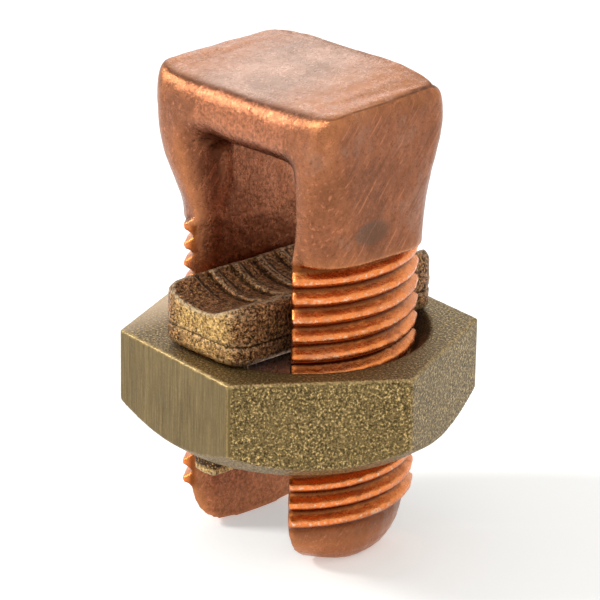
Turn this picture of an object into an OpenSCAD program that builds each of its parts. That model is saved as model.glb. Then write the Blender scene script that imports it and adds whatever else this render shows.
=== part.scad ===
// Split bolt connector: a forged copper bolt whose threaded shank is split into two legs, a hexagon nut, and
// a pressure pad that rides on the nut in the slot between the legs and clamps wires under the arch.
// +Z points up through the head. The origin is on the bolt's axis, at the ends of the legs.

/* [Thread] */
// Outer diameter of the thread on the legs
thread_d = 19; // [18:0.25:20]
// Axial distance between neighbouring turns
thread_pitch = 1.5875; // [1.25:0.0125:1.75]
// Height of the thread from root to crest
thread_depth = 0.75; // [0.6:0.05:1]
// Width of the flat along the thread's crest
thread_crest = 0.45; // [0.15:0.05:0.55]
// Width of the flat along the thread's root
thread_root = 0.3; // [0.15:0.05:0.4]
// Radial clearance between the nut's thread and the bolt's
thread_clearance = 0.12; // [0.08:0.01:0.2]
// Length of the plain tip below the thread
tip_len = 3.6; // [3:0.1:5]
// Width of the rounding round the end of the tip
tip_r = 3.3; // [1.5:0.1:3.5]
// Height of that rounding
tip_rise = 4.2; // [2:0.1:4.5]

/* [Slot] */
// Width of the wire slot between the legs
slot_w = 9.8; // [9:0.1:10.5]
// Radius of the two upper corners of the slot
slot_corner_r = 1.2; // [0.8:0.1:4]
// Radius of the rounding where the slot opens at either side
mouth_r = 2.9; // [1.5:0.1:3.1]
// Length of the legs' flat inner faces along the slot
slot_flat_l = 8.6; // [8:0.2:11]

/* [Head] */
// Height of the head's shoulder, where the thread ends
shoulder_z = 27.1; // [25:0.1:28]
// Height of the slot above the shoulder
window_h = 6.8; // [6:0.1:10]
// Thickness of the arch over the slot
arch_t = 5.4; // [4.5:0.1:7]
// Width of the head across the two legs, near its top
head_w = 20.9; // [19:0.1:22]
// Distance by which the head's top stands off the bolt's axis, towards the lip
head_off = 0.5; // [0:0.1:0.8]
// Thickness of the head along the slot, near its top
head_t = 14.2; // [13:0.1:15]
// Radius of the head's upright corners near its top
head_corner_r = 1.9; // [1:0.1:3]
// Width of the head across the two legs, at the shoulder
shoulder_w = 19.1; // [18:0.1:20]
// Thickness of the head along the slot, at the shoulder
shoulder_t = 12.4; // [12:0.1:14]
// Radius of the head's upright corners at the shoulder
shoulder_corner_r = 3.6; // [2:0.1:5]
// Rounding along the edges of the head's top
head_edge_r = 0.9; // [0.4:0.1:1.2]
// Rise of the top's far edge and fall of its near edge, at mid width
top_twist = 1.1; // [0:0.1:1.4]
// Rise of the top's middle above its corners
top_swell = 0.5; // [0:0.1:1]
// Rise of the top's right edge and fall of its left edge
top_tilt = 0.2; // [0:0.1:0.5]
// Height of the lip that the die raised along the left edge of the top
top_lip = 0.5; // [0:0.1:0.8]

/* [Nut] */
// Width of the nut across its flats
nut_af = 25.4; // [24.4:0.2:28]
// Height of the nut
nut_h = 8.6; // [7.5:0.1:9.5]
// Diameter of the round face under the nut
nut_face_d = 22.2; // [21.8:0.2:23]
// Slope of the chamfer round that face, in degrees
nut_chamfer_a = 35; // [20:1:40]
// Width of the countersink at the top of the nut's thread
nut_sink = 1.1; // [0.5:0.1:1.9]
// Height of the nut's top above the ends of the legs
nut_top_z = 18.2; // [16.5:0.1:19]
// Angle to which the nut is turned, in degrees
nut_turn = -5.4; // [-30:0.2:30]

/* [Pressure pad] */
// Length of the pad along the slot
pad_l = 22.2; // [20:0.2:24]
// Height of the pad above the nut
pad_h = 5.1; // [4:0.1:6]
// Clearance between the pad and each leg
pad_clearance = 0.2; // [0.1:0.05:0.3]
// Gap between the pad and the nut that turns under it
pad_gap = 0.1; // [0.05:0.05:0.2]
// Radius of the pad's upright corners
pad_corner_r = 1.9; // [1.3:0.1:3]
// Radius of the trough along the pad's top
trough_r = 6.8; // [6:0.1:12]
// Distance from the pad's sides to the edges of the trough
rim_w = 0.9; // [0.5:0.1:1.2]
// Rounding along the pad's upper edges
rim_r = 1; // [0.5:0.1:1.2]
// Rounding along the pad's lower edges
foot_r = 0.6; // [0.2:0.1:1]
// Distance between neighbouring serrations across the trough
serration_pitch = 2.4; // [1.8:0.1:3]
// Width of the ridge that stands between two serrations
ridge_w = 0.5; // [0.3:0.05:0.8]
// Depth of the serrations
serration_depth = 0.25; // [0.15:0.05:0.5]
// Height of the parting line round the pad
parting_h = 1.7; // [1.4:0.1:2.5]
// Depth and half width of the groove along that line
parting_depth = 0.15; // [0.05:0.05:0.3]
// Width of each tongue that holds the pad to the nut
tongue_w = 3.4; // [3:0.1:5]
// Thickness of each tongue
tongue_t = 1.4; // [1:0.1:1.8]
// Height of the hook under the nut
hook_h = 1.6; // [1:0.1:2]
// Reach of the hook past the tongue
hook_reach = 1.8; // [1.5:0.1:2.2]

/* [Hidden] */
$fn = 64;

// Thread
thread_r = thread_d / 2;
root_r = thread_r - thread_depth;
// Half the tooth's width gained for each millimetre towards the axis, and its height were its crest sharp
tooth_slope = (thread_pitch - thread_crest - thread_root) / 2 / thread_depth;
tooth_h = thread_depth + thread_crest / 2 / tooth_slope;
turn_steps = 32;
lead_angle = 45;
// Depth to which a tooth's foot is sunk in its core, so that the two make one solid
tooth_foot = 0.2;

// Head
crown_z = shoulder_z + window_h;
head_top_z = crown_z + arch_t;
corner_steps = 5;
side_steps = 8;
wall_steps = 7;
edge_steps = 3;
top_steps = 5;
// Share of the top's width that its last ring keeps, and the share of its half width that has no lip
top_end = 0.01;
lip_start = 0.7;
// Overlap of the head with the shank below its shoulder
shoulder_sink = 0.6;

// Slot
mouth_steps = 6;
slot_end = slot_flat_l / 2 + mouth_r;
past = 1;

// Nut
nut_bottom_z = nut_top_z - nut_h;
nut_corner_r = nut_af / sqrt(3);
nut_minor_r = root_r + thread_clearance;
nut_bore_r = thread_r + thread_clearance;
nut_lower_sink = 0.4;
thread_runout = 1;

// Pad
pad_w = slot_w - 2 * pad_clearance;
pad_z = nut_top_z + pad_gap;
pad_top_z = nut_top_z + pad_h;
trough_z = pad_top_z + sqrt(pow(trough_r, 2) - pow(pad_w / 2 - rim_w, 2));
serrations = floor((pad_l / 2 - rim_r - serration_pitch / 2) / serration_pitch);
round_steps = 4;
tongue_r = nut_minor_r - pad_clearance;
hook_top_z = nut_bottom_z - pad_gap;

function mix(a, b, t) = a + (b - a) * t;
function smooth(t) = t * t * (3 - 2 * t);

// The outline of a rectangle w by t with corners of radius r, as points; its sides across X are divided
function rounded_rect(w, t, r) = [
  for (q = [0:3])
    let (sx = (q == 0 || q == 3) ? 1 : -1, sy = q < 2 ? 1 : -1)
      each concat(
        [for (i = [0:corner_steps]) let (a = 90 * (q + i / corner_steps))
          [sx * (w / 2 - r) + r * cos(a), sy * (t / 2 - r) + r * sin(a)]],
        [if (q % 2 == 0) for (j = [1:side_steps - 1]) [sx * (w / 2 - r) * (1 - 2 * j / side_steps), sy * t / 2]]
      )
];

// A convex solid between two outlines
module slab(a, b) {
  hull() polyhedron(concat(a, b), [[for (i = [0:len(a) - 1]) i], [for (i = [0:len(b) - 1]) len(a) + i]]);
}

// A closed skin over a stack of outlines with equally many points
module skin(rings) {
  n = len(rings[0]);
  m = len(rings);
  polyhedron(
    [for (r = rings) each r],
    concat(
      [[for (i = [0:n - 1]) i]],
      [[for (i = [n - 1:-1:0]) (m - 1) * n + i]],
      [for (k = [0:m - 2], i = [0:n - 1]) [(k + 1) * n + i, (k + 1) * n + (i + 1) % n, k * n + (i + 1) % n]],
      [for (k = [0:m - 2], i = [0:n - 1]) [(k + 1) * n + i, k * n + (i + 1) % n, k * n + i]]
    )
  );
}

// The sharp tooth's outline at an angle along the helix, before its crest is turned flat
function tooth(angle, z, share, out) =
  let (foot = (tooth_foot + share * tooth_h) * tooth_slope, r0 = root_r - tooth_foot + out)
    [for (p = [[r0, -foot], [root_r + share * tooth_h + out, 0], [r0, foot]])
      [p[0] * cos(angle), p[0] * sin(angle), z + p[1]]];

// A helical ridge from height z0 to z1 that rises from the core at both ends; out moves it off the axis
module thread_ridge(z0, z1, out) {
  total = floor((z1 - z0) / thread_pitch * turn_steps);
  lead = lead_angle / 360 * turn_steps;
  rings = [
    for (i = [0:total])
      let (along = i / turn_steps)
        tooth(360 * (z0 / thread_pitch + along), z0 + along * thread_pitch, min(1, i / lead, (total - i) / lead), out)
  ];
  intersection() {
    for (i = [0:total - 1]) slab(rings[i], rings[i + 1]);
    translate([0, 0, z0 - thread_pitch])
      cylinder(r = thread_r + out, h = z1 - z0 + 2 * thread_pitch, $fn = turn_steps);
  }
}

// The threaded shank before it is slotted, with its rounded plain tip
module shank() {
  tip = [
    [0, 0],
    for (a = [-90:15:0]) [root_r - tip_r + tip_r * cos(a), tip_rise + tip_rise * sin(a)],
    [root_r, shoulder_z],
    [0, shoulder_z]
  ];
  rotate_extrude($fn = turn_steps) polygon(tip);
  thread_ridge(tip_len, shoulder_z - thread_pitch / 4, 0);
}

// Height of the head's top over a point: twisted and swollen between the corners, with a lip on the left
function top_z(p) =
  let (
    u = p[0] / (head_w / 2),
    v = p[1] / (head_t / 2),
    lip = max(0, -u - lip_start) / (1 - lip_start)
  )
    head_top_z + top_tilt * u + (1 - pow(u, 4)) * (top_twist * v + top_swell) + top_lip * lip * lip;

// The forged head before it is slotted
module head_block() {
  start = shoulder_z - shoulder_sink;
  wall = [
    for (k = [0:wall_steps])
      let (
        t = k / wall_steps,
        s = smooth(t),
        plan = rounded_rect(mix(shoulder_w, head_w, s), mix(shoulder_t, head_t, s),
                            mix(shoulder_corner_r, head_corner_r, s))
      )
        [for (p = plan) [p[0] - head_off * s, p[1], mix(start, top_z(p) - head_edge_r, t)]]
  ];
  edge = [
    for (k = [1:edge_steps])
      let (a = 90 * k / edge_steps, inset = head_edge_r * (1 - cos(a)))
        [for (p = rounded_rect(head_w - 2 * inset, head_t - 2 * inset, head_corner_r - inset))
          [p[0] - head_off, p[1], top_z(p) - head_edge_r * (1 - sin(a))]]
  ];
  rim = rounded_rect(head_w - 2 * head_edge_r, head_t - 2 * head_edge_r, head_corner_r - head_edge_r);
  top = [
    for (k = [1:top_steps])
      let (s = mix(1, top_end, k / top_steps))
        [for (p = rim) [s * p[0] - head_off, s * p[1], top_z(s * p)]]
  ];
  skin(concat(wall, edge, top));
}

// The outline of the slot at a place along it; grow widens it towards its mouths
function slot_outline(y, grow) =
  let (
    x = slot_w / 2 + grow,
    r = slot_corner_r,
    z = crown_z + grow
  )
    [
      [x, y, -past],
      for (i = [0:corner_steps]) let (a = 90 * i / corner_steps) [x - r + r * cos(a), y, z - r + r * sin(a)],
      for (i = [0:corner_steps]) let (a = 90 + 90 * i / corner_steps) [-x + r + r * cos(a), y, z - r + r * sin(a)],
      [-x, y, -past]
    ];

// The wire slot, with rounded mouths at both sides of the bolt
module wire_slot() {
  mouth = [for (i = [0:mouth_steps]) let (a = 90 * i / mouth_steps)
    [slot_flat_l / 2 + mouth_r * sin(a), mouth_r * (1 - cos(a))]];
  slab(slot_outline(-slot_flat_l / 2, 0), slot_outline(slot_flat_l / 2, 0));
  for (side = [-1, 1]) {
    for (i = [1:mouth_steps])
      slab(slot_outline(side * mouth[i - 1][0], mouth[i - 1][1]), slot_outline(side * mouth[i][0], mouth[i][1]));
    slab(slot_outline(side * slot_end, mouth_r), slot_outline(side * (thread_r + past), mouth_r));
  }
}

module split_bolt() {
  color("#b8683c") difference() {
    union() {
      shank();
      head_block();
    }
    wire_slot();
  }
}

module hex_nut() {
  chamfer_rise = (nut_corner_r - nut_face_d / 2) * tan(nut_chamfer_a);
  blank = [
    [0, 0],
    [nut_face_d / 2, 0],
    [nut_corner_r, chamfer_rise],
    [nut_corner_r, nut_h],
    [0, nut_h]
  ];
  bore = [
    [0, -past],
    [nut_minor_r + nut_lower_sink + past, -past],
    [nut_minor_r, nut_lower_sink],
    [nut_minor_r, nut_h - nut_sink - (nut_bore_r - nut_minor_r)],
    [nut_bore_r + nut_sink + past, nut_h + past],
    [0, nut_h + past]
  ];
  color("#86754f") difference() {
    translate([0, 0, nut_bottom_z]) intersection() {
      rotate([0, 0, nut_turn]) cylinder(r = nut_corner_r, h = nut_h, $fn = 6);
      rotate_extrude($fn = 96) polygon(blank);
    }
    translate([0, 0, nut_bottom_z]) rotate_extrude($fn = turn_steps) polygon(bore);
    thread_ridge(nut_bottom_z - thread_runout * thread_pitch, nut_top_z + thread_runout * thread_pitch,
                 thread_clearance);
  }
}

// One tongue that passes down through the nut and hooks outwards under it
module tongue() {
  inner = sqrt(pow(tongue_r, 2) - pow(tongue_w / 2, 2)) - tongue_t;
  intersection() {
    translate([0, 0, hook_top_z - hook_h]) cylinder(r = tongue_r, h = pad_z + parting_h / 2 - hook_top_z + hook_h);
    translate([-tongue_w / 2, inner, 0]) cube([tongue_w, tongue_r, pad_z + parting_h]);
  }
  intersection() {
    translate([0, 0, hook_top_z - hook_h]) cylinder(r = tongue_r + hook_reach, h = hook_h);
    translate([-tongue_w / 2, inner, 0]) cube([tongue_w, tongue_r, hook_top_z]);
  }
}

// The outline of the pad, set in from its sides, at a height above its foot
function pad_ring(inset, z) = [
  for (p = rounded_rect(pad_w - 2 * inset, pad_l - 2 * inset, pad_corner_r - inset)) [p[0], p[1], pad_z + z]
];

// The pad's bar, rounded along its edges, with a parting line round it
module pad_bar() {
  h = pad_top_z - pad_z;
  skin(concat(
    [for (i = [0:round_steps]) let (a = 90 * i / round_steps)
      pad_ring(foot_r * (1 - sin(a)), foot_r * (1 - cos(a)))],
    [
      pad_ring(0, parting_h - parting_depth),
      pad_ring(parting_depth, parting_h),
      pad_ring(0, parting_h + parting_depth)
    ],
    [for (i = [0:round_steps]) let (a = 90 * i / round_steps)
      pad_ring(rim_r * (1 - cos(a)), h - rim_r * (1 - sin(a)))]
  ));
}

module pressure_pad() {
  half = (serration_pitch - ridge_w) / 2;
  serration = [
    [trough_r - past, -half],
    [trough_r, -half],
    [trough_r + serration_depth, -half + serration_depth],
    [trough_r + serration_depth, half - serration_depth],
    [trough_r, half],
    [trough_r - past, half]
  ];
  color("#4f3d28") {
    difference() {
      pad_bar();
      translate([0, 0, trough_z]) rotate([90, 0, 0]) {
        cylinder(r = trough_r, h = pad_l + 2 * past, center = true);
        for (i = [-serrations:serrations])
          translate([0, 0, i * serration_pitch]) rotate_extrude() polygon(serration);
      }
    }
    tongue();
    mirror([0, 1, 0]) tongue();
  }
}

split_bolt();
hex_nut();
pressure_pad();
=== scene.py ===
"""Looks of a split bolt connector: forged copper bolt, tarnished bronze nut and cast bronze pressure pad."""

import math

import bmesh
import bpy
import numpy as np
from mathutils import Matrix, Vector, noise


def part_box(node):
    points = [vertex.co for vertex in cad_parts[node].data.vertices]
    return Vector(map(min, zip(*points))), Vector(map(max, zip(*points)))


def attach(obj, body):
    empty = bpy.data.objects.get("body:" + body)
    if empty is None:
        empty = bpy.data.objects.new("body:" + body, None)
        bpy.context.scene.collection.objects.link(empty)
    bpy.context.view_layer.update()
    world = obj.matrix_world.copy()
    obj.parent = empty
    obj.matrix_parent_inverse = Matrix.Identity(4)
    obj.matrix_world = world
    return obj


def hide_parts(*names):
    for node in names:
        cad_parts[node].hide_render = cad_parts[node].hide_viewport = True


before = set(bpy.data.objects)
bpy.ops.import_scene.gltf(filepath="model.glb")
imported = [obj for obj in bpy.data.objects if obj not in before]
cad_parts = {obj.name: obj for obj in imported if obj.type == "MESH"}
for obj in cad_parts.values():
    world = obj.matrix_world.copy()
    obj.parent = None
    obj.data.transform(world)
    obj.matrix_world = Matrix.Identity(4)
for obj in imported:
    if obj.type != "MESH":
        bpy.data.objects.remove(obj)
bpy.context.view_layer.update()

bl_info = {
    "name": "Split bolt connector",
    "version": (1, 0, 0),
    "blender": (4, 5, 0),
    "location": "View3D > Sidebar > Split bolt",
    "description": "Dresses the bolt, the nut and the pressure pad of a split bolt connector",
    "category": "Object",
}

MM = 0.001
NUT_LOW, NUT_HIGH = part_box("hex_nut")
PAD_LOW, PAD_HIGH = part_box("pressure_pad")
BOLT_LOW, BOLT_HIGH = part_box("split_bolt")

# Where the thread, the slot, the nut's dressed flats, the pad's parting line, the ridge along the head's top
# and the oval in its side lie
THREAD_R = 9.5 * MM
ROOT_R = 8.75 * MM
SHOULDER_Z = 26.5 * MM
TIP_Z = 3.6 * MM
SLOT_X = 4.9 * MM
FLAT_R = 12.7 * MM
FLAT_ANGLE = math.radians(84.6)
PARTING_Z = PAD_HIGH.z - 3.3 * MM
RIDGE_X = -1.5 * MM
STAMP = Vector((8.0 * MM, -1.3 * MM, 29.0 * MM))
STAMP_HALF = (2.0 * MM, 1.1 * MM)

# Heights of the window's top, of the start of the arch's roll and of its crease, and of the ends' shaping
CROWN_Z = 33.9 * MM
ROLL_Z = 36.0 * MM
CREASE_Z = 39.6 * MM
TIP_RISE = 4.4 * MM

# How far from the nut's middle the lamps stand, and how wide they are
KEY_PLACE, KEY_SIZE = Vector((-0.25, -0.24, 0.24)), 0.09
BACK_PLACE, BACK_SIZE = Vector((-0.26, 0.21, 0.17)), 0.12
FLOOR_HALF = 1.2

# Kinds of node
RAMP = "ShaderNodeValToRGB"
MIX = "ShaderNodeMix"
MATH = "ShaderNodeMath"
RANGE = "ShaderNodeMapRange"
NOISE = "ShaderNodeTexNoise"
MAPPING = "ShaderNodeMapping"
SPLIT = "ShaderNodeSeparateXYZ"
ATTRIBUTE = "ShaderNodeAttribute"
COORDINATES = "ShaderNodeTexCoord"
RAYS = "ShaderNodeLightPath"
BUMP = "ShaderNodeBump"
VECTOR = "ShaderNodeVectorMath"


# ---------------------------------------------------------------- colours and nodes


def linear(code):
    """An sRGB hex colour as a linear RGBA tuple."""
    parts = [int(code[i : i + 2], 16) / 255 for i in (0, 2, 4)]
    return (*[c / 12.92 if c <= 0.04045 else ((c + 0.055) / 1.055) ** 2.4 for c in parts], 1.0)


def shade(colour, strength):
    """A colour made darker or lighter."""
    return (*[min(1.0, part * strength) for part in colour[:3]], 1.0)


def add(tree, kind, inputs=(), out=0, stops=(), **settings):
    """Adds a node with its settings and the stops of its ramp, gives each input a value or links it to
    another node's output, and returns one of its outputs."""
    made = tree.nodes.new(kind)
    for key, value in settings.items():
        setattr(made, key, value)
    for _ in stops[2:]:
        made.color_ramp.elements.new(0.5)
    for place, (position, colour) in enumerate(stops):
        made.color_ramp.elements[place].position = position
        made.color_ramp.elements[place].color = colour
    for key, value in inputs.items() if isinstance(inputs, dict) else enumerate(inputs):
        if isinstance(value, bpy.types.NodeSocket):
            tree.links.new(value, made.inputs[key])
        else:
            made.inputs[key].default_value = value
    return made.outputs[out]


def new_material(name):
    """A material with a metal shader: the material, its tree, the shader and the object's coordinates."""
    material = bpy.data.materials.new(name)
    material.use_nodes = True
    tree = material.node_tree
    shader = tree.nodes["Principled BSDF"]
    shader.inputs["Metallic"].default_value = 1.0
    return material, tree, shader, add(tree, COORDINATES, out="Object")


def coated(tree, colour, coats):
    """Lays coats over a colour. A coat is its most, its own colour and its fields, and is as strong as its
    most times its fields. A field is what it reads, the values at which it is bare and full, and its
    strengths at both, where these aren't 0 and 1."""
    for most, coat, *fields in coats:
        strength = most
        for field in fields:
            shown = add(tree, RANGE, field)
            strength = add(tree, MATH, [strength, shown], operation="MULTIPLY")
        colour = add(tree, MIX, {0: strength, 6: colour, 7: coat}, out=2, data_type="RGBA")
    return colour


def forged_copper(settings):
    """Hot-forged copper, pickled and handled: satin brown with flow marks, a pinkish top that is partly the
    die's polish and partly painted light, bright orange in the rolled thread with painted light and shade on
    it, painted highlights on its swells and tips, painted shade in its hollows and along the crease of its
    top, and a painted shadow on the slot's walls behind the nut."""
    material, tree, shader, place = new_material("forged_copper")
    x = add(tree, SPLIT, [place], out="X")
    z = add(tree, SPLIT, [place], out="Z")
    round_axis = add(tree, VECTOR, [place, (1.0, 1.0, 0.0)], operation="MULTIPLY")
    radius = add(tree, VECTOR, [round_axis], out="Value", operation="LENGTH")
    wear = add(tree, ATTRIBUTE, out="Fac", attribute_name="edge_wear")
    swell = add(tree, ATTRIBUTE, out="Fac", attribute_name="swell")
    upward = add(tree, ATTRIBUTE, out="Fac", attribute_name="facing_up")

    # Clouds of 5 mm, mottle of 1.1 mm, grain of 0.3 mm, flow marks drawn out up the legs, and scratches
    cloud = add(tree, NOISE, {"Vector": place, "Scale": 1 / (5.0 * MM), "Detail": 5.0, "Roughness": 0.6})
    mottle = add(tree, NOISE, {"Vector": place, "Scale": 1 / (1.1 * MM), "Detail": 6.0, "Roughness": 0.65})
    fine = add(tree, NOISE, {"Vector": place, "Scale": 1 / (0.3 * MM), "Detail": 5.0, "Roughness": 0.75})
    drawn = add(tree, MAPPING, {"Vector": place, "Scale": (1.0, 1.0, 0.35)})
    flow = add(tree, NOISE, {"Vector": drawn, "Scale": 1 / (0.7 * MM), "Detail": 5.0, "Roughness": 0.65})
    slanted = add(tree, MAPPING, {"Vector": place, "Rotation": (0.65, 0.0, 0.0)})
    slanted = add(tree, MAPPING, {"Vector": slanted, "Scale": (1.0, 1.0, 0.05)})
    scratch = add(tree, NOISE, {"Vector": slanted, "Scale": 1 / (0.3 * MM), "Detail": 2.0, "Roughness": 0.6})

    base, roll, sheen, rolling = (
        settings.skin_colour,
        settings.roll_colour,
        settings.top_colour,
        settings.thread_colour,
    )
    skin = add(tree, RAMP, [flow], stops=[(0.3, shade(base, 0.85)), (0.5, base), (0.7, shade(base, 1.18))])
    # Rubbed orange that also serves as a painted highlight on the swells
    orange = add(tree, RAMP, [mottle], stops=[(0.34, shade(roll, 0.6)), (0.62, roll)])
    wall = add(tree, RAMP, [fine], stops=[(0.4, shade(base, 1.9)), (0.6, shade(base, 0.8))])
    off_middle = add(tree, MATH, [x], operation="ABSOLUTE")
    in_slot = [off_middle, SLOT_X + 0.4 * MM, SLOT_X + 0.15 * MM]
    from_stamp = add(tree, VECTOR, [place, tuple(STAMP)], operation="SUBTRACT")
    from_stamp = add(tree, VECTOR, [from_stamp, (0.0, 1.0, 1.9)], operation="MULTIPLY")
    from_stamp = add(tree, VECTOR, [from_stamp], out="Value", operation="LENGTH")
    skin = coated(tree, skin, [
        (0.75, shade(base, 0.62), [cloud, 0.46, 0.62]),
        (0.35, shade(sheen, 0.75), [cloud, 0.44, 0.32]),
        (0.55, shade(base, 1.9), [scratch, 0.6, 0.66]),
        (0.4, shade(base, 0.5), [scratch, 0.4, 0.36]),
        (0.5, shade(base, 0.62), [mottle, 0.54, 0.7]),
        (0.65, shade(base, 0.4), [fine, 0.54, 0.66]),
        (0.5, shade(base, 1.7), [fine, 0.42, 0.34]),
        # Painted shade darkens the wide hollows, the tips are painted lighter as painted light, and the
        # swells are rubbed orange with a painted highlight on them
        (0.25, shade(base, 0.5), [swell, 0.42, 0.1]),
        (0.45, shade(roll, 1.1), [z, TIP_Z, TIP_Z - 1.5 * MM]),
        (0.6, orange, [swell, 0.6, 0.95], [flow, 0.35, 0.6, 0.45, 1.0]),
        # The slot's walls keep more of their scale, and behind the nut they are painted near black as a
        # painted shadow
        (0.65, wall, in_slot),
        (
            0.95,
            linear("0d0805"),
            in_slot,
            [z, NUT_HIGH.z + 2.0 * MM, NUT_HIGH.z + 0.8 * MM],
            [z, NUT_LOW.z + 0.5 * MM, NUT_LOW.z + 3.5 * MM],
        ),
        # Oxide fills the oval that is pressed into one side
        (0.7, linear("6b5040"), [from_stamp, 2.2 * MM, 1.5 * MM], [x, 8.0 * MM, 8.5 * MM]),
    ])

    # The top is lighter, partly from the die's polish and partly as painted light from above; a painted sheen
    # runs down its middle, and it turns orange towards its sides
    from_ridge = add(tree, MATH, [x, RIDGE_X], operation="SUBTRACT")
    from_ridge = add(tree, MATH, [from_ridge], operation="ABSOLUTE")
    polished = add(tree, RAMP, [cloud], stops=[
        (0.34, shade(sheen, 0.8)),
        (0.5, sheen),
        (0.64, shade(sheen, 1.3)),
    ])
    polished = coated(tree, polished, [
        (1.0, shade(roll, 0.8), [from_ridge, 2.5 * MM, 8.5 * MM], [mottle, 0.35, 0.6, 0.5, 0.95]),
        (0.5, base, [fine, 0.52, 0.66]),
        (0.4, shade(sheen, 1.6), [scratch, 0.58, 0.66]),
    ])

    # The thread is painted with light and shade: lighter on its crests, with painted glints on chipped spots
    # along them, darker in its roots, lighter on the flanks that face up and darker on those that face down
    depth = add(tree, RANGE, [radius, ROOT_R, THREAD_R])
    thread = add(tree, RAMP, [depth], stops=[
        (0.05, shade(rolling, 0.35)),
        (0.3, shade(rolling, 0.8)),
        (0.7, shade(rolling, 1.15)),
        (0.95, shade(rolling, 1.4)),
    ])
    thread = coated(tree, thread, [
        (0.6, shade(rolling, 1.9), [upward, 0.6, 0.8]),
        (0.5, shade(rolling, 0.4), [upward, 0.42, 0.25]),
        (0.45, shade(rolling, 0.55), [mottle, 0.46, 0.66]),
        (0.3, shade(sheen, 0.9), [cloud, 0.46, 0.34]),
        (0.85, linear("f4dcc0"), [depth, 0.86, 0.98], [fine, 0.5, 0.6]),
    ])

    # The top's polish and painted light are laid on, a painted shade line runs along the crease round the
    # top, handling brightens the edges, and painted shade darkens the small hollows
    near_top = [z, BOLT_HIGH.z - 4.0 * MM, BOLT_HIGH.z - 3.0 * MM]
    colour = coated(tree, skin, [
        (1.0, polished, near_top, [upward, 0.9, 0.975]),
        (
            1.0,
            shade(base, 0.3),
            near_top,
            [upward, 0.86, 0.9],
            [upward, 0.96, 0.92],
            [mottle, 0.35, 0.6, 0.2, 0.8],
        ),
        (0.3, roll, [wear, 0.6, 0.9]),
        (
            1.0,
            thread,
            [z, SHOULDER_Z + 0.25 * MM, SHOULDER_Z - 0.05 * MM],
            [z, TIP_Z - 0.3 * MM, TIP_Z + 0.3 * MM],
            [radius, ROOT_R - 0.5 * MM, ROOT_R - 0.15 * MM],
        ),
        (0.6, linear("4a2413"), [wear, 0.44, 0.2]),
    ])
    tree.links.new(colour, shader.inputs["Base Color"])
    tree.links.new(add(tree, RANGE, [mottle, 0.3, 0.7, 0.2, 0.34]), shader.inputs["Roughness"])
    bent = add(tree, BUMP, {"Height": cloud, "Distance": 0.2 * MM})
    for height, distance in ((flow, 0.05 * MM), (mottle, 0.06 * MM), (fine, 0.05 * MM)):
        bent = add(tree, BUMP, {"Height": height, "Distance": distance, "Normal": bent})
    tree.links.new(bent, shader.inputs["Normal"])
    return material


def tarnished_bronze(settings):
    """Silicon bronze, cast as a hexagon and tumbled: olive with sparkling grain, and drawn lines up the
    pair of flats that were dressed on a belt."""
    material, tree, shader, place = new_material("tarnished_silicon_bronze")
    x = add(tree, SPLIT, [place], out="X")
    round_axis = add(tree, VECTOR, [place, (1.0, 1.0, 0.0)], operation="MULTIPLY")
    radius = add(tree, VECTOR, [round_axis], out="Value", operation="LENGTH")
    wear = add(tree, ATTRIBUTE, out="Fac", attribute_name="edge_wear")
    upward = add(tree, ATTRIBUTE, out="Fac", attribute_name="facing_up")
    square = add(tree, MAPPING, {"Vector": place, "Rotation": (0.0, 0.0, -FLAT_ANGLE)})
    across = add(tree, MATH, [add(tree, SPLIT, [square], out="X")], operation="ABSOLUTE")
    dressed = add(tree, RANGE, [across, FLAT_R - 0.35 * MM, FLAT_R - 0.15 * MM])

    # Casting grain of 0.2 mm with finer specks, and belt lines of 0.2 mm up the dressed flats
    grain = add(tree, NOISE, {"Vector": place, "Scale": 1 / (0.2 * MM), "Detail": 2.5, "Roughness": 0.75})
    speck = add(tree, NOISE, {"Vector": place, "Scale": 1 / (0.14 * MM), "Detail": 2.0, "Roughness": 0.7})
    cloud = add(tree, NOISE, {"Vector": place, "Scale": 1 / (3.5 * MM), "Detail": 4.0, "Roughness": 0.6})
    belt = add(tree, MAPPING, {"Vector": place, "Scale": (1.0, 1.0, 0.05)})
    lines = add(tree, NOISE, {"Vector": belt, "Scale": 1 / (0.2 * MM), "Detail": 4.0, "Roughness": 0.7})

    base = settings.colour
    cast = add(tree, RAMP, [grain], stops=[
        (0.36, shade(base, 0.3)),
        (0.46, shade(base, 0.95)),
        (0.56, shade(base, 1.6)),
        (0.66, shade(base, 5.0)),
    ])
    cast = coated(tree, cast, [(0.5, shade(base, 0.4), [speck, 0.5, 0.72])])
    drawn = add(tree, RAMP, [lines], stops=[(0.3, shade(base, 0.65)), (0.5, base), (0.7, shade(base, 1.6))])
    drawn = coated(tree, drawn, [(0.5, shade(base, 0.55), [speck, 0.55, 0.75])])
    colour = coated(tree, cast, [
        (1.0, drawn, [dressed, 0.0, 1.0]),
        (0.35, shade(base, 1.25), [cloud, 0.42, 0.68]),
        # The bore is brown with grease, and a painted sheen lightens the top towards its -X corners
        (0.6, linear("7a5434"), [radius, THREAD_R + 1.1 * MM, THREAD_R + 0.9 * MM]),
        (0.8, linear("d6bd9d"), [x, -6.5 * MM, -10.5 * MM], [upward, 0.9, 0.97]),
        (0.8, settings.edge_colour, [wear, 0.7, 1.0], [grain, 0.35, 0.55, 0.1, 0.8]),
    ])
    tree.links.new(colour, shader.inputs["Base Color"])
    tree.links.new(add(tree, RANGE, [grain, 0.35, 0.7, 0.5, 0.3]), shader.inputs["Roughness"])
    groove = add(tree, MATH, [lines, dressed], operation="MULTIPLY")
    rough = add(tree, MATH, [grain, add(tree, RANGE, [dressed, 0.0, 1.0, 1.0, 0.2])], operation="MULTIPLY")
    bent = add(tree, BUMP, {"Height": groove, "Distance": 0.05 * MM})
    bent = add(tree, BUMP, {"Height": rough, "Distance": 0.16 * MM, "Normal": bent})
    tree.links.new(bent, shader.inputs["Normal"])
    return material


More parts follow.
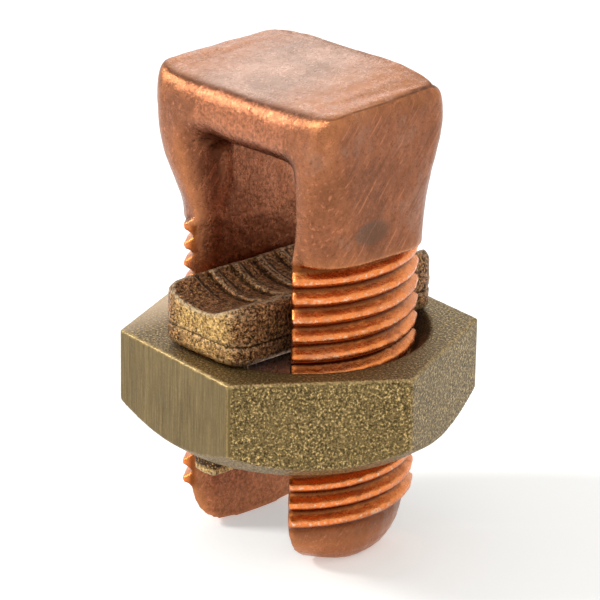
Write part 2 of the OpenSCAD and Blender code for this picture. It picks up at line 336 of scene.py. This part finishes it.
def cast_bronze(settings):
    """Sand-cast bronze, dark with foundry scale, with painted shade in its hollows and where it lies inside
    the nut, painted glints in its grain, and rubbed golden on its ends and ridges.
    """
    material, tree, shader, place = new_material("sand_cast_bronze")
    x = add(tree, SPLIT, [place], out="X")
    y = add(tree, SPLIT, [place], out="Y")
    z = add(tree, SPLIT, [place], out="Z")
    wear = add(tree, ATTRIBUTE, out="Fac", attribute_name="edge_wear")
    upward = add(tree, ATTRIBUTE, out="Fac", attribute_name="facing_up")

    # Sand grain of 0.25 mm, a finer grain that bumps the surface and sets painted glints between its grains,
    # and clouds of 2.2 mm
    sand = add(tree, NOISE, {"Vector": place, "Scale": 1 / (0.25 * MM), "Detail": 3.0, "Roughness": 0.8})
    glint = add(tree, NOISE, {"Vector": place, "Scale": 1 / (0.17 * MM), "Detail": 1.0, "Roughness": 0.8})
    cloud = add(tree, NOISE, {"Vector": place, "Scale": 1 / (2.2 * MM), "Detail": 4.0, "Roughness": 0.6})

    scale, rub = settings.scale_colour, settings.rubbed_colour
    dark = add(tree, RAMP, [sand], stops=[
        (0.4, shade(scale, 0.25)),
        (0.48, shade(scale, 1.2)),
        (0.56, shade(scale, 2.4)),
        (0.64, shade(scale, 5.0)),
    ])
    bright = add(tree, RAMP, [sand], stops=[
        (0.38, shade(rub, 0.12)),
        (0.45, shade(rub, 0.75)),
        (0.54, shade(rub, 1.25)),
        (0.62, shade(rub, 2.4)),
    ])
    serrated = add(tree, RAMP, [sand], stops=[
        (0.42, shade(scale, 0.3)),
        (0.5, shade(scale, 1.1)),
        (0.6, shade(scale, 2.6)),
    ])
    off_middle = add(tree, MATH, [y], operation="ABSOLUTE")
    colour = coated(tree, dark, [
        # The ends are rubbed above the parting line, and so are the hooks
        (
            1.0,
            bright,
            [off_middle, PAD_HIGH.y - 0.45 * MM, PAD_HIGH.y - 0.1 * MM],
            [cloud, 0.32, 0.55, 0.45, 1.0],
            [x, -3.2 * MM, -1.6 * MM, 0.15, 1.0],
            [z, PARTING_Z - 0.1 * MM, PARTING_Z + 0.1 * MM, 0.6, 1.0],
        ),
        # Painted shade darkens the pad below the nut's top, where it lies inside the nut
        (0.85, shade(scale, 0.25), [z, NUT_HIGH.z, NUT_HIGH.z - 0.5 * MM]),
        (0.9, bright, [z, PAD_LOW.z + 0.8 * MM, PAD_LOW.z + 0.5 * MM]),
        (0.55, serrated, [upward, 0.75, 0.95]),
        # Painted glints between the grains
        (0.8, shade(rub, 1.8), [glint, 0.62, 0.7]),
        (1.0, linear("bda988"), [wear, 0.6, 0.8], [sand, 0.4, 0.6, 0.15, 0.9]),
        # Painted shade darkens the hollows
        (0.75, linear("1c120a"), [wear, 0.47, 0.33]),
    ])
    tree.links.new(colour, shader.inputs["Base Color"])
    tree.links.new(add(tree, RANGE, [sand, 0.3, 0.7, 0.5, 0.3]), shader.inputs["Roughness"])
    bent = add(tree, BUMP, {"Height": cloud, "Distance": 0.15 * MM})
    for height, distance in ((sand, 0.2 * MM), (glint, 0.06 * MM)):
        bent = add(tree, BUMP, {"Height": height, "Distance": distance, "Normal": bent})
    tree.links.new(bent, shader.inputs["Normal"])
    return material


# ---------------------------------------------------------------- meshes


def merged_copy(node, name):
    """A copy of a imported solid's mesh with its doubles merged, as a new object."""
    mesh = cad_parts[node].data.copy()
    mesh.name = name
    mesh.materials.clear()
    bm = bmesh.new()
    bm.from_mesh(mesh)
    bmesh.ops.remove_doubles(bm, verts=bm.verts, dist=0.002 * MM)
    bm.to_mesh(mesh)
    bm.free()
    piece = bpy.data.objects.new(name, mesh)
    bpy.context.scene.collection.objects.link(piece)
    return piece


def apply_modifiers(piece):
    """Makes the piece's mesh what its modifiers show, and removes them."""
    graph = bpy.context.evaluated_depsgraph_get()
    mesh = bpy.data.meshes.new_from_object(piece.evaluated_get(graph))
    piece.modifiers.clear()
    old = piece.data
    piece.data = mesh
    bpy.data.meshes.remove(old)
    mesh.name = piece.name


def remeshed(piece, voxel, rounds):
    """Rounds the piece's edges as a forging's or casting's are: an even remesh, then smoothing."""
    remesh = piece.modifiers.new("even_mesh", "REMESH")
    remesh.mode = "VOXEL"
    remesh.voxel_size = voxel
    remesh.use_smooth_shade = True
    smooth = piece.modifiers.new("rounding", "SMOOTH")
    smooth.factor = 0.5
    smooth.iterations = rounds
    apply_modifiers(piece)


def forged_round(piece, low, high, fade, iterations):
    """Flows the piece's edges together between two heights, as metal does in a die, fading out past both."""
    group = piece.vertex_groups.new(name="forged")
    for vert in piece.data.vertices:
        height = vert.co.z
        weight = min(1.0, max(0.0, (height - low) / fade), max(0.0, (high - height) / fade))
        if weight > 0.0:
            group.add([vert.index], weight, "REPLACE")
    flow = piece.modifiers.new("flow", "SMOOTH")
    flow.factor = 0.5
    flow.iterations = iterations
    flow.vertex_group = group.name
    apply_modifiers(piece)
    piece.vertex_groups.clear()


def rolled_arch(piece, crease_in, window_in, leg_out):
    """Turns the head's flat ends into a round bar: its upper edges draw in towards the crease of the top,
    most in the middle, its lower ones draw in round the window, and one leg swells out."""
    half, window_reach = BOLT_HIGH.y, 2.3 * MM
    fade_low, fade_over = SHOULDER_Z + 1.0 * MM, 2.5 * MM
    swell_high = CREASE_Z - 2.0 * MM
    bm = bmesh.new()
    bm.from_mesh(piece.data)
    for vert in bm.verts:
        x, y, z = vert.co
        start = min(1.0, max(0.0, (z - fade_low) / fade_over))
        if start == 0.0:
            continue
        if x < -SLOT_X:
            along = min(1.0, (z - SHOULDER_Z) / (swell_high - SHOULDER_Z))
            swelling = leg_out * math.sin(math.pi * along) ** 2
            vert.co.x -= swelling
            vert.co.y += math.copysign(swelling * min(1.0, abs(y) / half) ** 3, y)
        upper = min(1.0, max(0.0, (z - ROLL_Z) / (CREASE_Z - ROLL_Z)))
        middle = 0.55 + 0.45 * max(0.0, 1.0 - (x / BOLT_HIGH.x) ** 2)
        beside, over = max(0.0, abs(x) - SLOT_X), max(0.0, z - CROWN_Z)
        near = max(0.0, 1.0 - math.hypot(beside, over) / window_reach)
        inward = crease_in * middle * (1.0 - math.sqrt(1.0 - upper * upper))
        inward += window_in * start * (1.0 - math.sqrt(1.0 - near * near))
        vert.co.y -= math.copysign(inward * min(1.0, abs(y) / half) ** 3, y)
    bm.to_mesh(piece.data)
    bm.free()


def blunted(piece, narrowing, fullness):
    """Shapes the legs' ends: both swell outwards, one narrows like a thumb, and the other ends in an arc."""
    arc_rise, swell_over = 1.2 * MM, 1.2 * MM
    bm = bmesh.new()
    bm.from_mesh(piece.data)
    for vert in bm.verts:
        x, y, z = vert.co
        if z < TIP_RISE:
            down = min(1.0, (TIP_RISE - z) / TIP_RISE)
            bend = 1.0 - math.sqrt(1.0 - down * down)
            outer = min(1.0, max(0.0, (abs(x) - SLOT_X) / swell_over))
            vert.co.x += math.copysign(fullness * bend * outer, x)
            if x > 0.0:
                vert.co.y *= 1.0 - narrowing * bend * (1.0 if y < 0.0 else 0.3)
            else:
                vert.co.y *= 1.0 + 0.3 * narrowing * bend
                vert.co.z += arc_rise * down * (y / THREAD_R) ** 2
    bm.to_mesh(piece.data)
    bm.free()


def narrowed(piece, height, share):
    """Draws what hangs below a height in across the slot, over half a millimetre."""
    for vert in piece.data.vertices:
        below = min(1.0, max(0.0, (height - vert.co.z) / (0.5 * MM)))
        vert.co.x *= 1.0 - share * below


def dimpled(piece, centre, half_size, depth):
    """Presses a shallow oval into the piece's face that looks along +X."""
    bm = bmesh.new()
    bm.from_mesh(piece.data)
    for vert in bm.verts:
        if vert.normal.x > 0.5:
            away = math.hypot((vert.co.y - centre.y) / half_size[0], (vert.co.z - centre.z) / half_size[1])
            if away < 1.0 and vert.co.x > centre.x:
                vert.co.x -= depth * (1.0 - away * away)
    bm.to_mesh(piece.data)
    bm.free()


def roughened(piece, layers, above):
    """Moves each vertex above a height along its normal by noise of (feature size, depth)."""
    bm = bmesh.new()
    bm.from_mesh(piece.data)
    for vert in bm.verts:
        if vert.co.z > above:
            shift = sum(depth * noise.noise(vert.co / size) for size, depth in layers)
            vert.co += vert.normal * shift
    bm.to_mesh(piece.data)
    bm.free()


def mark_surface(piece, reach, rounds, wide_reach, wide_rounds):
    """Stores how far each vertex stands out of its close and its wider surroundings, above a half on edges
    and swells and below in hollows, and how much it faces up, from 0 for down to 1 for up."""
    mesh = piece.data
    count = len(mesh.vertices)
    places = np.empty(count * 3)
    mesh.vertices.foreach_get("co", places)
    places = places.reshape(-1, 3)
    normals = np.empty(count * 3)
    mesh.vertices.foreach_get("normal", normals)
    normals = normals.reshape(-1, 3)
    ends = np.empty(len(mesh.edges) * 2, dtype=np.int64)
    mesh.edges.foreach_get("vertices", ends)
    first, second = ends[::2], ends[1::2]
    degree = np.bincount(ends, minlength=count)

    def around(values):
        """The mean of each vertex's neighbours."""
        total = np.zeros_like(values)
        for axis in range(values.shape[1]):
            total[:, axis] = np.bincount(first, values[second, axis], count) + np.bincount(
                second, values[first, axis], count
            )
        return total / degree[:, None]

    smooth = places
    for done in range(1, wide_rounds + 1):
        smooth = around(smooth)
        for name, steps, depth in (("edge_wear", rounds, reach), ("swell", wide_rounds, wide_reach)):
            if done == steps:
                stand = ((places - smooth) * normals).sum(axis=1) / depth
                attribute = mesh.attributes.new(name, "FLOAT", "POINT")
                attribute.data.foreach_set("value", np.clip(0.5 + 0.5 * stand, 0.0, 1.0))
    attribute = mesh.attributes.new("facing_up", "FLOAT", "POINT")
    attribute.data.foreach_set("value", 0.5 + 0.5 * normals[:, 2])


def finish_piece(piece, material, node, body):
    """Gives the piece its material, stands it in for its solid and makes it move with its body."""
    piece.data.materials.clear()
    piece.data.materials.append(material)
    piece.data.shade_smooth()
    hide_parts(node)
    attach(piece, body)


# ---------------------------------------------------------------- settings


class BoltSettings(bpy.types.PropertyGroup):
    """Fineness and colours of the forged bolt."""

    voxel: bpy.props.FloatProperty(
        name="Mesh size", description="Edge length of the bolt's mesh", default=0.206 * MM, unit="LENGTH"
    )
    rounds: bpy.props.IntProperty(name="Rounding", description="Smoothing steps over its edges", default=1)
    flow: bpy.props.IntProperty(name="Flow", description="Smoothing steps over the forged head", default=36)
    crease_in: bpy.props.FloatProperty(
        name="Crease", description="How far the top's crease draws in", default=2.3 * MM, unit="LENGTH"
    )
    window_in: bpy.props.FloatProperty(
        name="Window edge", description="How far the window's edges draw in", default=1.4 * MM, unit="LENGTH"
    )
    leg_out: bpy.props.FloatProperty(
        name="Leg", description="How far one leg swells out", default=0.6 * MM, unit="LENGTH"
    )
    tip_narrowing: bpy.props.FloatProperty(
        name="Tip narrowing",
        description="Share by which the legs' ends narrow",
        default=0.33,
        subtype="FACTOR",
    )
    tip_fullness: bpy.props.FloatProperty(
        name="Tip fullness",
        description="How far the legs' ends swell outwards",
        default=1.3 * MM,
        unit="LENGTH",
    )
    stamp_depth: bpy.props.FloatProperty(
        name="Stamp depth",
        description="Depth of the oval pressed into one side",
        default=0.15 * MM,
        unit="LENGTH",
    )
    skin_colour: bpy.props.FloatVectorProperty(
        name="Skin",
        description="Colour of the forged sides",
        subtype="COLOR",
        size=4,
        default=linear("975f43"),
    )
    roll_colour: bpy.props.FloatVectorProperty(
        name="Rolls",
        description="Colour of the rolled shoulders",
        subtype="COLOR",
        size=4,
        default=linear("cf8656"),
    )
    top_colour: bpy.props.FloatVectorProperty(
        name="Top",
        description="Colour of the polished top",
        subtype="COLOR",
        size=4,
        default=linear("b4917e"),
    )
    thread_colour: bpy.props.FloatVectorProperty(
        name="Thread",
        description="Colour of the rolled thread",
        subtype="COLOR",
        size=4,
        default=linear("d2763e"),
    )


class NutSettings(bpy.types.PropertyGroup):
    """Fineness and colours of the nut."""

    voxel: bpy.props.FloatProperty(
        name="Mesh size", description="Edge length of the nut's mesh", default=0.16 * MM, unit="LENGTH"
    )
    rounds: bpy.props.IntProperty(name="Rounding", description="Smoothing steps over its edges", default=2)
    colour: bpy.props.FloatVectorProperty(
        name="Bronze",
        description="Colour of the tarnished bronze",
        subtype="COLOR",
        size=4,
        default=linear("74623f"),
    )
    edge_colour: bpy.props.FloatVectorProperty(
        name="Edges",
        description="Colour of the rubbed edges",
        subtype="COLOR",
        size=4,
        default=linear("c0a472"),
    )


class PadSettings(bpy.types.PropertyGroup):
    """Fineness and colours of the pressure pad."""

    voxel: bpy.props.FloatProperty(
        name="Mesh size", description="Edge length of the pad's mesh", default=0.11 * MM, unit="LENGTH"
    )
    rounds: bpy.props.IntProperty(name="Rounding", description="Smoothing steps over its edges", default=3)
    hook_flow: bpy.props.IntProperty(name="Hook", description="Smoothing steps over the hooks", default=60)
    hook_narrowing: bpy.props.FloatProperty(
        name="Hook narrowing", description="Share by which the hooks narrow", default=0.3, subtype="FACTOR"
    )
    scale_colour: bpy.props.FloatVectorProperty(
        name="Scale",
        description="Colour of the foundry scale",
        subtype="COLOR",
        size=4,
        default=linear("6a4b31"),
    )
    rubbed_colour: bpy.props.FloatVectorProperty(
        name="Rubbed",
        description="Colour of the rubbed bronze",
        subtype="COLOR",
        size=4,
        default=linear("b8935c"),
    )


class StageSettings(bpy.types.PropertyGroup):
    """Camera, light and floor."""

    floor_colour: bpy.props.FloatVectorProperty(
        name="Floor", description="Colour of the floor", subtype="COLOR", size=4, default=linear("fafaf8")
    )
    floor_glow: bpy.props.FloatProperty(
        name="Floor glow",
        description="Light of its own that the floor is seen with",
        default=0.4,
        subtype="FACTOR",
    )
    key_power: bpy.props.FloatProperty(
        name="Key lamp", description="Power of the key lamp", default=1.0, unit="POWER"
    )
    back_power: bpy.props.FloatProperty(
        name="Back lamp", description="Power of the back lamp", default=0.07, unit="POWER"
    )
    azimuth: bpy.props.FloatProperty(
        name="Azimuth",
        description="Turn of the camera round the part",
        default=math.radians(47.0),
        subtype="ANGLE",
    )
    elevation: bpy.props.FloatProperty(
        name="Elevation",
        description="Height of the camera's view",
        default=math.radians(21.07),
        subtype="ANGLE",
    )
    roll: bpy.props.FloatProperty(
        name="Roll",
        description="Turn of the camera about its own axis",
        default=math.radians(0.94),
        subtype="ANGLE",
    )
    distance: bpy.props.FloatProperty(
        name="Distance", description="From the camera to the nut's top", default=0.29235, unit="LENGTH"
    )
    lens: bpy.props.FloatProperty(
        name="Focal length",
        description="Focal length in millimetres on a 36 mm sensor",
        default=215.9,
        unit="CAMERA",
    )
    aside: bpy.props.FloatProperty(
        name="Aside",
        description="Shift of the camera to the left of the nut's axis",
        default=0.035 * MM,
        unit="LENGTH",
    )
    above: bpy.props.FloatProperty(
        name="Above", description="Shift of the camera above the nut's top", default=1.913 * MM, unit="LENGTH"
    )


# ---------------------------------------------------------------- operators


class SPLITBOLT_OT_bolt(bpy.types.Operator):
    """Makes the forged and threaded copper bolt"""

    bl_idname = "splitbolt.bolt"
    bl_label = "Forged bolt"

    def execute(self, context):
        settings = context.scene.splitbolt_bolt
        piece = merged_copy("split_bolt", "forged_bolt")
        remeshed(piece, settings.voxel, settings.rounds)
        blunted(piece, settings.tip_narrowing, settings.tip_fullness)
        rolled_arch(piece, settings.crease_in, settings.window_in, settings.leg_out)
        forged_round(
            piece,
            low=SHOULDER_Z + 0.4 * MM,
            high=BOLT_HIGH.z - 1.5 * MM,
            fade=1.4 * MM,
            iterations=settings.flow,
        )
        dimpled(piece, STAMP, STAMP_HALF, settings.stamp_depth)
        mark_surface(piece, reach=0.08 * MM, rounds=4, wide_reach=0.4 * MM, wide_rounds=60)
        roughened(piece, layers=[(3.5 * MM, 0.09 * MM), (0.9 * MM, 0.025 * MM)], above=SHOULDER_Z)
        finish_piece(piece, forged_copper(settings), "split_bolt", "bolt")
        return {"FINISHED"}


class SPLITBOLT_OT_nut(bpy.types.Operator):
    """Makes the hexagon nut"""

    bl_idname = "splitbolt.nut"
    bl_label = "Hexagon nut"

    def execute(self, context):
        settings = context.scene.splitbolt_nut
        piece = merged_copy("hex_nut", "bronze_nut")
        remeshed(piece, settings.voxel, settings.rounds)
        mark_surface(piece, reach=0.05 * MM, rounds=3, wide_reach=0.2 * MM, wide_rounds=20)
        finish_piece(piece, tarnished_bronze(settings), "hex_nut", "nut")
        return {"FINISHED"}


class SPLITBOLT_OT_pad(bpy.types.Operator):
    """Makes the cast pressure pad"""

    bl_idname = "splitbolt.pad"
    bl_label = "Pressure pad"

    def execute(self, context):
        settings = context.scene.splitbolt_pad
        piece = merged_copy("pressure_pad", "cast_pad")
        remeshed(piece, settings.voxel, settings.rounds)
        narrowed(piece, NUT_LOW.z, settings.hook_narrowing)
        forged_round(
            piece,
            low=PAD_LOW.z - 1.0 * MM,
            high=PAD_LOW.z + 2.2 * MM,
            fade=0.8 * MM,
            iterations=settings.hook_flow,
        )
        mark_surface(piece, reach=0.04 * MM, rounds=4, wide_reach=0.15 * MM, wide_rounds=20)
        roughened(
            piece, layers=[(1.8 * MM, 0.1 * MM), (0.5 * MM, 0.05 * MM)], above=NUT_HIGH.z + 0.2 * MM
        )
        finish_piece(piece, cast_bronze(settings), "pressure_pad", "pad")
        return {"FINISHED"}


def seen_rays(tree):
    """One for the rays that see the backdrop: the camera's, and those off metal or through glass."""
    seen = 0.0
    for kind in ("Is Camera Ray", "Is Glossy Ray", "Is Transmission Ray"):
        seen = add(tree, MATH, [seen, add(tree, RAYS, out=kind)], operation="MAXIMUM")
    return seen


def backdrop_material(name, colour, glow):
    """Matt white board that keeps shadows, and glows a little so that it is seen as white."""
    material = bpy.data.materials.new(name)
    material.use_nodes = True
    tree = material.node_tree
    shader = tree.nodes["Principled BSDF"]
    shader.inputs["Base Color"].default_value = colour
    shader.inputs["Roughness"].default_value = 0.9
    shader.inputs["Specular IOR Level"].default_value = 0.1
    shader.inputs["Emission Color"].default_value = colour
    strength = add(tree, MATH, [seen_rays(tree), glow], operation="MULTIPLY")
    tree.links.new(strength, shader.inputs["Emission Strength"])
    return material


def soft_lamp(name, place, target, size, power):
    """A square area lamp aimed at a point."""
    data = bpy.data.lights.new(name, "AREA")
    data.shape = "SQUARE"
    data.size = size
    data.energy = power
    lamp = bpy.data.objects.new(name, data)
    lamp.location = place
    lamp.rotation_euler = (Vector(target) - Vector(place)).to_track_quat("-Z", "Y").to_euler()
    bpy.context.scene.collection.objects.link(lamp)


def camera_pose(settings, target):
    """The camera's turn and place as one matrix."""
    turn, rise, roll = settings.azimuth, settings.elevation, settings.roll
    back = Vector((math.sin(turn) * math.cos(rise), -math.cos(turn) * math.cos(rise), math.sin(rise)))
    right = Vector((math.cos(turn), math.sin(turn), 0.0))
    up = back.cross(right)
    place = target + back * settings.distance - right * settings.aside + up * settings.above
    rolled_right = right * math.cos(roll) + up * math.sin(roll)
    rolled_up = up * math.cos(roll) - right * math.sin(roll)
    turned = Matrix((rolled_right, rolled_up, back)).transposed().to_4x4()
    return Matrix.Translation(place) @ turned


class SPLITBOLT_OT_stage(bpy.types.Operator):
    """Makes the floor, the lamps, the world and the camera"""

    bl_idname = "splitbolt.stage"
    bl_label = "Stage"

    def execute(self, context):
        settings = context.scene.splitbolt_stage
        scene = context.scene
        middle = Vector((0.0, 0.0, NUT_HIGH.z))

        data = bpy.data.cameras.new("camera")
        data.sensor_width = 36.0
        data.lens = settings.lens
        data.clip_start = 0.01
        data.clip_end = 5.0
        camera = bpy.data.objects.new("camera", data)
        camera.matrix_world = camera_pose(settings, middle)
        scene.collection.objects.link(camera)
        scene.camera = camera

        bm = bmesh.new()
        bmesh.ops.create_grid(bm, x_segments=1, y_segments=1, size=FLOOR_HALF)
        mesh = bpy.data.meshes.new("floor")
        bm.to_mesh(mesh)
        bm.free()
        floor = bpy.data.objects.new("floor", mesh)
        mesh.materials.append(backdrop_material("studio_floor", settings.floor_colour, settings.floor_glow))
        scene.collection.objects.link(floor)
        floor.location.z = min(BOLT_LOW.z, PAD_LOW.z) - 0.01 * MM

        soft_lamp("key", middle + KEY_PLACE, middle, KEY_SIZE, settings.key_power)
        soft_lamp("back", middle + BACK_PLACE, middle, BACK_SIZE, settings.back_power)

        world = bpy.data.worlds.new("studio")
        scene.world = world
        world.use_nodes = True
        tree = world.node_tree
        sky = coated(tree, linear("cccccc"), [(1.0, linear("ffffff"), [seen_rays(tree), 0.0, 1.0])])
        tree.links.new(sky, tree.nodes["Background"].inputs["Color"])
        scene.view_settings.view_transform = "Standard"
        return {"FINISHED"}


class SPLITBOLT_PT_panel(bpy.types.Panel):
    """Lists the part's pieces"""

    bl_label = "Split bolt"
    bl_idname = "SPLITBOLT_PT_panel"
    bl_space_type = "VIEW_3D"
    bl_region_type = "UI"
    bl_category = "Split bolt"

    def draw(self, context):
        for key in SETTINGS:
            group = getattr(context.scene, key)
            for name in type(group).__annotations__:
                self.layout.prop(group, name)
        for operator in OPERATORS:
            self.layout.operator(operator.bl_idname)


SETTINGS = {
    "splitbolt_bolt": BoltSettings,
    "splitbolt_nut": NutSettings,
    "splitbolt_pad": PadSettings,
    "splitbolt_stage": StageSettings,
}
OPERATORS = (SPLITBOLT_OT_bolt, SPLITBOLT_OT_nut, SPLITBOLT_OT_pad, SPLITBOLT_OT_stage)


def register():
    """Registers the classes and hangs the settings on the scene."""
    for cls in (*SETTINGS.values(), *OPERATORS, SPLITBOLT_PT_panel):
        bpy.utils.register_class(cls)
    for key, cls in SETTINGS.items():
        setattr(bpy.types.Scene, key, bpy.props.PointerProperty(type=cls))


def unregister():
    """Takes the settings off the scene and unregisters the classes."""
    for key in SETTINGS:
        delattr(bpy.types.Scene, key)
    for cls in reversed((*SETTINGS.values(), *OPERATORS, SPLITBOLT_PT_panel)):
        bpy.utils.unregister_class(cls)


def main():
    """Makes every piece and the stage."""
    register()
    bpy.ops.splitbolt.bolt()
    bpy.ops.splitbolt.nut()
    bpy.ops.splitbolt.pad()
    bpy.ops.splitbolt.stage()


if __name__ == "__main__":
    main()
